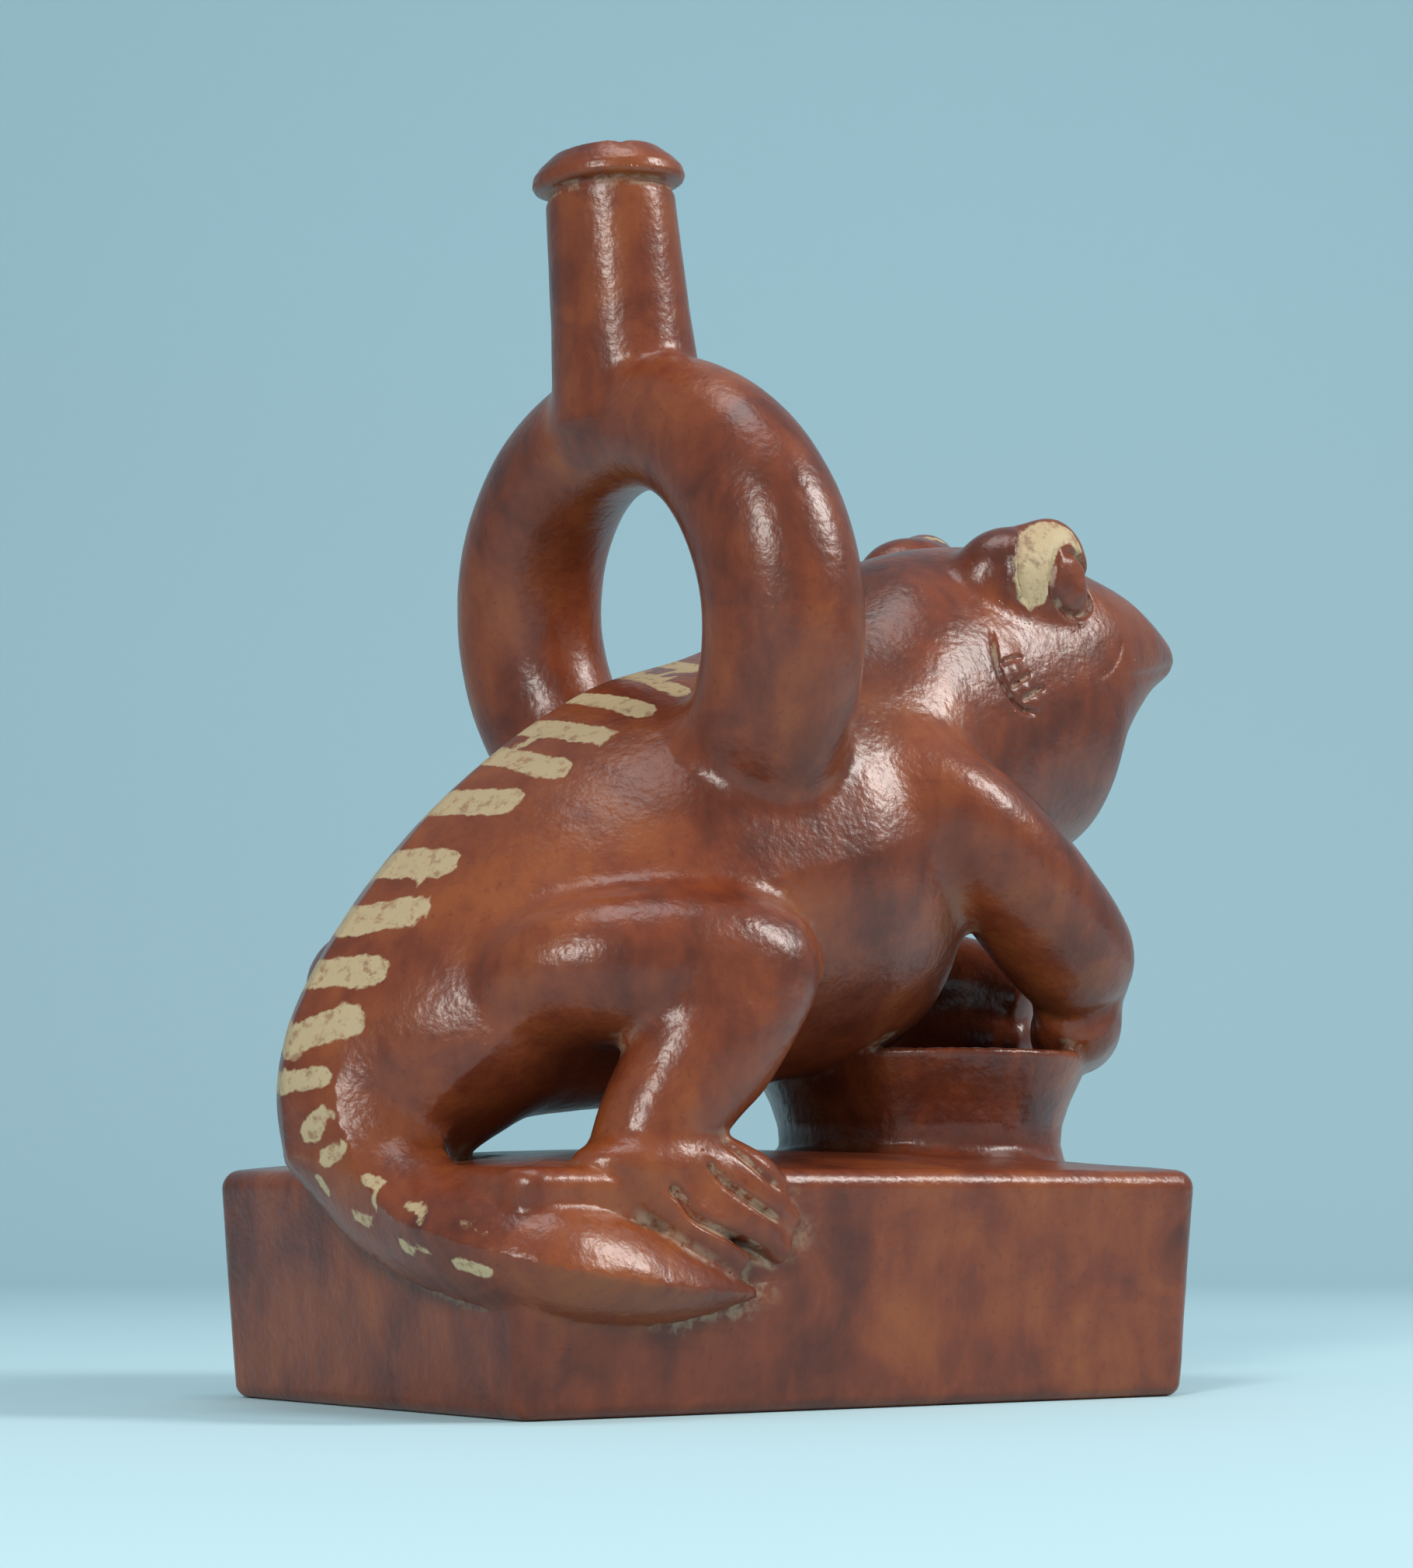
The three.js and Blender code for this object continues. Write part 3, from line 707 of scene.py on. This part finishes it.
def plainMesh(name, verts, faces):
    mesh = bpy.data.meshes.new(name)
    sides = faces.shape[1]
    mesh.vertices.add(len(verts))
    mesh.vertices.foreach_set("co", np.asarray(verts, np.float32).ravel())
    mesh.loops.add(len(faces) * sides)
    mesh.loops.foreach_set("vertex_index", faces.ravel().astype(np.int32))
    mesh.polygons.add(len(faces))
    mesh.polygons.foreach_set("loop_start", np.arange(0, len(faces) * sides, sides, dtype=np.int32))
    mesh.update(calc_edges=True)
    mesh.validate()
    return mesh


def places(mesh):
    co = np.empty(len(mesh.vertices) * 3, np.float32)
    mesh.vertices.foreach_get("co", co)
    return co.reshape(-1, 3).astype(float)


def setPlaces(mesh, co):
    mesh.vertices.foreach_set("co", np.asarray(co, np.float32).ravel())
    mesh.update()


def replaced(obj):
    # The object's mesh with its modifiers worked out, and the modifiers gone.
    graph = bpy.context.evaluated_depsgraph_get()
    made = bpy.data.meshes.new_from_object(obj.evaluated_get(graph))
    old = obj.data
    obj.modifiers.clear()
    obj.data = made
    bpy.data.meshes.remove(old)
    return made


def fineZone(co):
    # Longest edge wanted at each place, in mm.
    want = np.full(len(co), 6.0)
    far = np.abs(co[:, 1])
    head = (co[:, 0] > 42) & (co[:, 0] < 84) & (co[:, 2] > 121) & (co[:, 2] < 163) & (far > 13)
    snout = (co[:, 0] >= 76) & (co[:, 2] > 130) & (co[:, 2] < 150) & (far > 2)
    foot = (co[:, 0] > -50) & (co[:, 0] < -17) & (co[:, 2] > 22) & (co[:, 2] < 47) & (far > 47)
    lip = co[:, 2] > 211
    want[head | snout | foot | lip] = clay["fineEdge"]
    return want


def refined(mesh, wanted, rounds=3):
    for _ in range(rounds):
        bm = bmesh.new()
        bm.from_mesh(mesh)
        bm.verts.ensure_lookup_table()
        co = np.array([v.co for v in bm.verts])
        ends = np.array([(e.verts[0].index, e.verts[1].index) for e in bm.edges])
        want = wanted(co)
        limit = np.minimum(want[ends[:, 0]], want[ends[:, 1]])
        length = np.linalg.norm(co[ends[:, 0]] - co[ends[:, 1]], axis=1)
        chosen = np.flatnonzero(length > limit)
        if not len(chosen):
            bm.free()
            break
        bm.edges.ensure_lookup_table()
        bmesh.ops.subdivide_edges(bm, edges=[bm.edges[int(i)] for i in chosen], cuts=1, use_grid_fill=True)
        bmesh.ops.triangulate(bm, faces=[f for f in bm.faces if len(f.verts) > 3])
        bm.to_mesh(mesh)
        bm.free()
        old = len(co)
        now = places(mesh)
        now[old:] = ontoSurface(now[old:], 2)
        setPlaces(mesh, now)
        print("clay: refined to", len(mesh.polygons), "triangles")
    return mesh


def vesselMesh():
    step = clay["gridStep"]
    verts, faces = meshedClay(step)
    verts = ontoSurface(verts)
    print("clay: skinned with", len(faces), "quads")
    obj = bpy.data.objects.new("vessel_clay", plainMesh("vessel_clay", verts, faces))
    bpy.context.scene.collection.objects.link(obj)
    thin = obj.modifiers.new("thin", "DECIMATE")
    thin.ratio = min(1.0, clay["trianglesKept"] / (2 * len(faces)))
    thin.use_collapse_triangulate = True
    replaced(obj)
    print("clay: thinned to", len(obj.data.polygons), "triangles")
    refined(obj.data, fineZone)
    return obj


paint = {
    "spread": 0.6,
    "dabSpread": 0.15,
    # from the ridge to the bar's lower end, and half its width; each bar crosses to the left flank too
    "bars": [
        ((-9.4, 0, 130.8), (-9.4, -8.3, 129.0), 1.6),
        ((-18.0, 0, 128.0), (-17.5, -15.5, 123.5), 1.7),
        ((-29.4, 0, 123.0), (-25.8, -16.1, 119.5), 1.8),
        ((-39.1, 0, 117.0), (-34.1, -16.3, 114.1), 2.0),
        ((-46.6, 0, 111.4), (-43.1, -15.4, 108.1), 2.15),
        ((-57.0, 0, 102.3), (-51.8, -12.4, 102.3), 2.75),
        ((-67.2, 0, 91.7), (-63.2, -10.8, 91.2), 2.65),
        ((-75.0, 0, 81.0), (-69.2, -11.8, 82.9), 2.65),
        ((-80.9, 0, 72.3), (-76.3, -10.9, 72.5), 2.4),
        ((-85.7, 0, 60.8), (-80.6, -10.2, 64.4), 2.5),
        ((-87.0, 0, 53.9), (-84.3, -8.2, 55.0), 1.3),
    ],
    # brush dabs along the tail, above its ridge and below it
    "dabs": [
        ((-85.6, -5.7, 45.9), (-84.5, -9.3, 48.7), 1.8),
        ((-84.3, -9.1, 41.6), (-83.3, -12.4, 43.0), 1.5),
        ((-82.5, -18.8, 38.2), (-81.2, -22.0, 37.4), 1.1),
        ((-81.8, -21.8, 36.8), (-82.1, -21.7, 33.5), 0.6),
        ((-80.5, -29.4, 33.8), (-79.6, -32.4, 33.4), 1.1),
        ((-79.8, -33.4, 33.0), (-80.7, -34.8, 31.2), 0.7),
        ((-77.8, -41.5, 30.5), (-76.8, -44.0, 29.9), 0.9),
        ((-76.5, -44.8, 29.6), (-76.5, -47.0, 28.1), 0.9),
        ((-83.8, -6.4, 38.1), (-82.7, -7.8, 35.9), 0.8),
        ((-81.9, -15.0, 32.2), (-81.5, -19.9, 30.7), 1.0),
        ((-80.9, -28.1, 27.9), (-80.4, -31.2, 26.6), 0.8),
        ((-80.8, -33.1, 27.5), (-80.4, -36.0, 26.8), 0.6),
        ((-78.6, -42.1, 24.9), (-76.6, -47.2, 23.6), 1.0),
    ],
    # outline of the disc on the brow's outer face, x and z
    "disc": [(63.6, 161.2), (60.4, 161.0), (57.0, 159.5), (54.0, 156.5), (51.8, 152.5), (51.3, 148.5),
             (52.4, 145.4), (55.5, 143.2), (58.6, 144.8), (59.8, 148.4), (60.6, 152.0), (61.9, 155.6),
             (65.0, 157.0), (67.6, 154.8), (68.8, 155.8), (66.6, 159.6)],
}


def barDistance(p, a, b, half):
    a, b = np.array(a), np.array(b)
    along = b - a
    w = np.clip(((p - a) @ along) / (along @ along), 0, 1)
    return np.linalg.norm(p - a - w[:, None] * along, axis=1) - half


def outlineDistance(u, v, outline):
    best = np.full(len(u), 1e9)
    inside = np.zeros(len(u), bool)
    for (ax, ay), (bx, by) in zip(outline, outline[1:] + outline[:1]):
        ex, ey = bx - ax, by - ay
        w = np.clip(((u - ax) * ex + (v - ay) * ey) / (ex * ex + ey * ey), 0, 1)
        best = np.minimum(best, np.hypot(u - ax - w * ex, v - ay - w * ey))
        crosses = (ay > v) != (by > v)
        inside ^= crosses & (u < (bx - ax) * (v - ay) / (by - ay + 1e-12) + ax)
    return np.where(inside, -best, best)


def paintDistance(p):
    d = np.full(len(p), 20.0)
    near = p * np.array([1.0, 0, 1.0]) - np.abs(p) * np.array([0, 1.0, 0])
    for a, b, half in paint["bars"]:
        d = np.minimum(d, barDistance(near, a, b, half + paint["spread"]))
    for a, b, half in paint["dabs"]:
        d = np.minimum(d, barDistance(p, a, b, half + paint["dabSpread"]))
    shift = np.array(limbs["leftBrowShift"])
    u = np.where(p[:, 1] < 0, p[:, 0], p[:, 0] - shift[0])
    v = np.where(p[:, 1] < 0, p[:, 2], p[:, 2] - shift[2])
    disc = outlineDistance(u, v, paint["disc"])
    return np.minimum(d, np.where(np.abs(p[:, 1]) > 15, disc, 20.0))


def addValues(mesh, name, values):
    mesh.attributes.new(name, "FLOAT", "POINT").data.foreach_set("value", np.asarray(values, np.float32))


vesselObj = vesselMesh()
co = places(vesselObj.data)
normals, _ = surfaceNormal(co)
addValues(vesselObj.data, "paint", paintDistance(co))
addValues(vesselObj.data, "crevice", np.clip(1 - clayDistance(co + normals * 2.2) / 2.2, 0, 1))
# how deep each place lies in a hollow, which sets the painted shade in the slip
addValues(vesselObj.data, "hollow", np.clip(1 - clayDistance(co + normals * 9.0) / 9.0, 0, 1))
addValues(vesselObj.data, "edge", np.clip(1 + clayDistance(co - normals * 2.2) / 2.2, 0, 1))
setPlaces(vesselObj.data, co / 1000)
for polygon in vesselObj.data.polygons:
    polygon.use_smooth = True
print("clay: values laid on", len(co), "points")


class Wire:
    # A shader value that can be added, multiplied and compared in plain expressions.

    def __init__(self, tree, socket):
        self.tree = tree
        self.socket = socket

    def node(self, kind, settings=None, **sockets):
        return addNode(self.tree, kind, settings, sockets)

    def maths(self, operation, *others, first=None):
        node = self.tree.nodes.new("ShaderNodeMath")
        node.operation = operation
        for socket, value in zip(node.inputs, (self if first is None else first,) + others):
            feed(self.tree, socket, value)
        return Wire(self.tree, node.outputs[0])

    def __add__(self, other):
        return self.maths("ADD", other)

    def __radd__(self, other):
        return self.maths("ADD", self, first=other)

    def __sub__(self, other):
        return self.maths("SUBTRACT", other)

    def __rsub__(self, other):
        return self.maths("SUBTRACT", self, first=other)

    def __mul__(self, other):
        return self.maths("MULTIPLY", other)

    def __rmul__(self, other):
        return self.maths("MULTIPLY", self, first=other)

    def __truediv__(self, other):
        return self.maths("DIVIDE", other)

    def __rtruediv__(self, other):
        return self.maths("DIVIDE", self, first=other)

    def __pow__(self, other):
        return self.maths("POWER", other)

    def ramp(self, low, high):
        # 0 below low and 1 above high, eased between.
        node = self.tree.nodes.new("ShaderNodeMapRange")
        node.interpolation_type = "SMOOTHSTEP"
        feed(self.tree, node.inputs[0], self)
        turned = low > high
        values = (high, low, 1.0, 0.0) if turned else (low, high, 0.0, 1.0)
        for socket, value in zip(node.inputs[1:5], values):
            socket.default_value = value
        return Wire(self.tree, node.outputs[0])


def feed(tree, socket, value):
    if isinstance(value, Wire):
        tree.links.new(value.socket, socket)
    elif isinstance(value, tuple) and len(value) == 3 and socket.type == "RGBA":
        socket.default_value = value + (1.0,)
    else:
        socket.default_value = value


def addNode(tree, kind, settings=None, sockets=None, out=0):
    # A node with its settings, then its sockets' values or links by name or place.
    node = tree.nodes.new(kind)
    for name, value in (settings or {}).items():
        if name == "stops":
            ramp = node.color_ramp
            while len(ramp.elements) > 1:
                ramp.elements.remove(ramp.elements[-1])
            for k, (at, colour) in enumerate(value):
                stop = ramp.elements[0] if k == 0 else ramp.elements.new(at)
                stop.position, stop.color = at, colour + (1.0,)
        else:
            setattr(node, name, value)
    for name, value in (sockets or {}).items():
        feed(tree, node.inputs[name], value)
    return Wire(tree, node.outputs[out])


def mixed(tree, share, first, second, how="MIX"):
    node = tree.nodes.new("ShaderNodeMix")
    node.data_type, node.blend_type = "RGBA", how
    feed(tree, node.inputs[0], share)
    feed(tree, node.inputs[6], first)
    feed(tree, node.inputs[7], second)
    return Wire(tree, node.outputs[2])


def noise(tree, place, scale, detail=3.0, rough=0.5, warp=0.0):
    return addNode(tree, "ShaderNodeTexNoise", {"noise_dimensions": "3D"},
                   {"Vector": place, "Scale": scale, "Detail": detail,
                    "Roughness": rough, "Distortion": warp})


def attribute(tree, name):
    return addNode(tree, "ShaderNodeAttribute", {"attribute_name": name}, out="Fac")


slip = {
    "deep": (0.085, 0.017, 0.008),  # darkest fired patches; also the painted shade laid in the hollows
    "red": (0.190, 0.038, 0.013),
    "orange": (0.28, 0.070, 0.018),  # where the slip is rubbed thin
    "cream": (0.50, 0.37, 0.21),
    "dirt": (0.42, 0.29, 0.19),
    "roughness": 0.30,
}


def redSlip():
    material = bpy.data.materials.new("burnished red slip")
    material.use_nodes = True
    tree = material.node_tree
    tree.nodes.clear()
    place = addNode(tree, "ShaderNodeTexCoord", out="Object")
    crevice, hollow, edge = (attribute(tree, n) for n in ("crevice", "hollow", "edge"))
    cloud = noise(tree, place, 28.0, 4.0, 0.55, 0.4)
    blotch = noise(tree, place, 75.0, 5.0, 0.6, 0.8)
    streak = noise(tree, addNode(tree, "ShaderNodeMapping", None,
                                 {"Vector": place, "Scale": (1.0, 1.0, 0.22)}), 210.0, 4.0, 0.6)
    fine = noise(tree, place, 700.0, 3.0, 0.6)
    tone = cloud * 0.5 + blotch * 0.32 + streak * 0.18
    colour = mixed(tree, tone.ramp(0.36, 0.54), slip["deep"], slip["red"])
    colour = mixed(tree, (tone + edge * 0.04).ramp(0.48, 0.66), colour, slip["orange"])
    colour = mixed(tree, fine.ramp(0.58, 0.72) * 0.35, colour, slip["deep"])
    # cream paint, worn ragged at its outline
    mark = attribute(tree, "paint")
    cream = (mark + (blotch - 0.5) * 1.6 + (streak - 0.5) * 1.6 + (fine - 0.5) * 1.2).ramp(0.25, -0.25)
    thin = noise(tree, place, 420.0, 4.0, 0.7).ramp(0.66, 0.50)
    colour = mixed(tree, cream * (0.45 + 0.55 * thin), colour, slip["cream"])
    # pale dust left in the folds
    dust = crevice.ramp(0.14, 0.55) * noise(tree, place, 330.0, 4.0, 0.65).ramp(0.42, 0.60)
    colour = mixed(tree, dust * 0.7, colour, slip["dirt"])
    # painted shade: the slip is darkened towards the deep colour in the hollows, where shade falls
    colour = mixed(tree, hollow.ramp(0.45, 1.0) * 0.45, colour, slip["deep"])
    shader = tree.nodes.new("ShaderNodeBsdfPrincipled")
    feed(tree, shader.inputs["Base Color"], colour)
    wear = noise(tree, place, 160.0, 4.0, 0.6)
    rough = slip["roughness"] - 0.08 + wear * 0.16 + cream * 0.25 + dust * 0.3
    feed(tree, shader.inputs["Roughness"], rough)
    shader.inputs["IOR"].default_value = 1.5
    pebble = noise(tree, place, 620.0, 2.0, 0.5)
    lumps = noise(tree, place, 190.0, 3.0, 0.5)
    height = pebble * 0.55 + lumps * 0.45 + fine * 0.2 - cream * 0.06
    bump = addNode(tree, "ShaderNodeBump", None, {"Strength": 0.5, "Distance": 0.0005, "Height": height})
    feed(tree, shader.inputs["Normal"], bump)
    end = tree.nodes.new("ShaderNodeOutputMaterial")
    tree.links.new(shader.outputs[0], end.inputs[0])
    return material


handMade = {
    "Waviness": 0.22,  # mm
    "Waviness size": 15.0,
    "Dents": 0.05,
    "Dent size": 5.5,
    "Seed": 7.0,
}


def surfaceTree(material):
    tree = bpy.data.node_groups.new("hand-made surface", "GeometryNodeTree")
    tree.interface.new_socket("Geometry", in_out="INPUT", socket_type="NodeSocketGeometry")
    tree.interface.new_socket("Geometry", in_out="OUTPUT", socket_type="NodeSocketGeometry")
    for name, value in handMade.items():
        tree.interface.new_socket(name, in_out="INPUT", socket_type="NodeSocketFloat").default_value = value
    start, end = tree.nodes.new("NodeGroupInput"), tree.nodes.new("NodeGroupOutput")
    given = {s.name: Wire(tree, s) for s in start.outputs if s.name}
    place = addNode(tree, "GeometryNodeInputPosition")
    height = None
    for depth, size in (("Waviness", "Waviness size"), ("Dents", "Dent size")):
        wave = addNode(tree, "ShaderNodeTexNoise", {"noise_dimensions": "4D"},
                       {"Vector": place, "W": given["Seed"], "Scale": 1000.0 / given[size], "Detail": 1.0})
        push = (wave - 0.5) * given[depth] * 0.002
        height = push if height is None else height + push
    # the flat underside keeps its place
    z = addNode(tree, "ShaderNodeSeparateXYZ", None, {"Vector": place}, out="Z")
    height = height * z.ramp(0.002, 0.006)
    normal = addNode(tree, "GeometryNodeInputNormal")
    offset = addNode(tree, "ShaderNodeVectorMath", {"operation": "SCALE"}, {0: normal, "Scale": height})
    moved = addNode(tree, "GeometryNodeSetPosition", None, {"Geometry": given["Geometry"], "Offset": offset})
    real = addNode(tree, "GeometryNodeRealizeInstances", None, {"Geometry": moved})
    dressed = addNode(tree, "GeometryNodeSetMaterial", None, {"Geometry": real, "Material": material})
    tree.links.new(dressed.socket, end.inputs[0])
    return tree


slipMaterial = redSlip()
vesselObj.data.materials.append(slipMaterial)
surface = vesselObj.modifiers.new("surface", "NODES")
surface.node_group = surfaceTree(slipMaterial)
for item in surface.node_group.interface.items_tree:
    if item.in_out == "INPUT" and item.name in handMade:
        surface[item.identifier] = handMade[item.name]
replaced(vesselObj)
print("surface: waviness and dents laid on")
finish = vesselObj.modifiers.new("finish", "DECIMATE")
finish.ratio = min(1.0, clay["trianglesMost"] / len(vesselObj.data.polygons))
finish.use_collapse_triangulate = True
even = vesselObj.modifiers.new("even", "WEIGHTED_NORMAL")  # the flat faces stay flat to the eye
even.mode, even.weight = "FACE_AREA", 60
replaced(vesselObj)
print("surface: finished with", len(vesselObj.data.polygons), "triangles")

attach(vesselObj, "root")
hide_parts("box_base", "bowl", "animal", "stirrup_spout")


stageSet = {
    "floorColour": (0.52, 0.74, 0.82),
    "floorEdge": 6.0,
    "lights": [
        # name, place, size, watts, colour, aimed at
        ("key from the right", (0.75, -0.65, 0.85), (0.24, 0.42), 8.5, (1.0, 0.97, 0.92), (0, 0, 0.11)),
        ("fill from the left", (-0.95, -0.75, 0.65), (0.22, 0.42), 8.5, (1.0, 0.96, 0.9), (0, 0, 0.11)),
        ("top", (0.0, -0.1, 1.25), (0.5, 0.5), 3.0, (1.0, 1.0, 1.0), (0, 0, 0.1)),
    ],
    "sky": (0.74, 0.88, 0.94),
    "skyStrength": 0.42,
}


def plainMaterial(name, colour, roughness):
    material = bpy.data.materials.new(name)
    material.use_nodes = True
    shader = material.node_tree.nodes["Principled BSDF"]
    shader.inputs["Base Color"].default_value = colour + (1.0,)
    shader.inputs["Roughness"].default_value = roughness
    return material


def floorObject():
    # A floor that sweeps up behind into a backdrop.
    heading = math.radians(54.4)
    across = Vector((math.sin(heading), -math.cos(heading), 0))
    along = Vector((math.cos(heading), math.sin(heading), 0))
    profile = [(-1.5, 0.0), (0.9, 0.0)]
    for k in range(1, 17):
        a = k / 16 * math.pi / 2
        profile.append((0.9 + 0.6 * math.sin(a), 0.6 * (1 - math.cos(a))))
    profile.append((1.5, 3.0))
    half = stageSet["floorEdge"] / 2
    verts = [tuple(along * d + across * (side * half) + Vector((0, 0, z)))
             for d, z in profile for side in (-1, 1)]
    faces = [(2 * k, 2 * k + 1, 2 * k + 3, 2 * k + 2) for k in range(len(profile) - 1)]
    mesh = bpy.data.meshes.new("floor")
    mesh.from_pydata(verts, [], faces)
    for polygon in mesh.polygons:
        polygon.use_smooth = True
    mesh.materials.append(plainMaterial("pale paper", stageSet["floorColour"], 0.9))
    obj = bpy.data.objects.new("floor", mesh)
    bpy.context.scene.collection.objects.link(obj)


def softLights():
    for name, at, (wide, tall), watts, colour, target in stageSet["lights"]:
        light = bpy.data.lights.new(name, "AREA")
        light.shape, light.size, light.size_y = "RECTANGLE", wide, tall
        light.energy, light.color = watts, colour
        obj = bpy.data.objects.new(name, light)
        obj.location = at
        obj.rotation_euler = (Vector(target) - Vector(at)).to_track_quat("-Z", "Y").to_euler()
        bpy.context.scene.collection.objects.link(obj)
    world = bpy.data.worlds.new("studio")
    world.use_nodes = True
    background = world.node_tree.nodes["Background"]
    background.inputs[0].default_value = stageSet["sky"] + (1.0,)
    background.inputs[1].default_value = stageSet["skyStrength"]
    bpy.context.scene.world = world
    bpy.context.scene.view_settings.view_transform = "Standard"


view = {"heading": 54.4, "pitch": 6.28, "distance": 0.6814, "aside": -0.00055, "height": 0.0347,
        "lens": 86.9}


def studioCamera():
    heading, pitch = math.radians(view["heading"]), math.radians(view["pitch"])
    forward = Vector((math.cos(heading), math.sin(heading), 0))
    right = Vector((math.sin(heading), -math.cos(heading), 0))
    look = forward * math.cos(pitch) + Vector((0, 0, math.sin(pitch)))
    data = bpy.data.cameras.new("camera")
    data.sensor_width, data.lens = 36.0, view["lens"]
    data.clip_start, data.clip_end = 0.05, 20.0
    camera = bpy.data.objects.new("camera", data)
    place = right * view["aside"] - forward * view["distance"] + Vector((0, 0, view["height"]))
    up = right.cross(look)
    turn = Matrix((right, up, -look)).transposed().to_4x4()
    camera.matrix_world = Matrix.Translation(place) @ turn
    bpy.context.scene.collection.objects.link(camera)
    bpy.context.scene.camera = camera


floorObject()
softLights()
studioCamera()
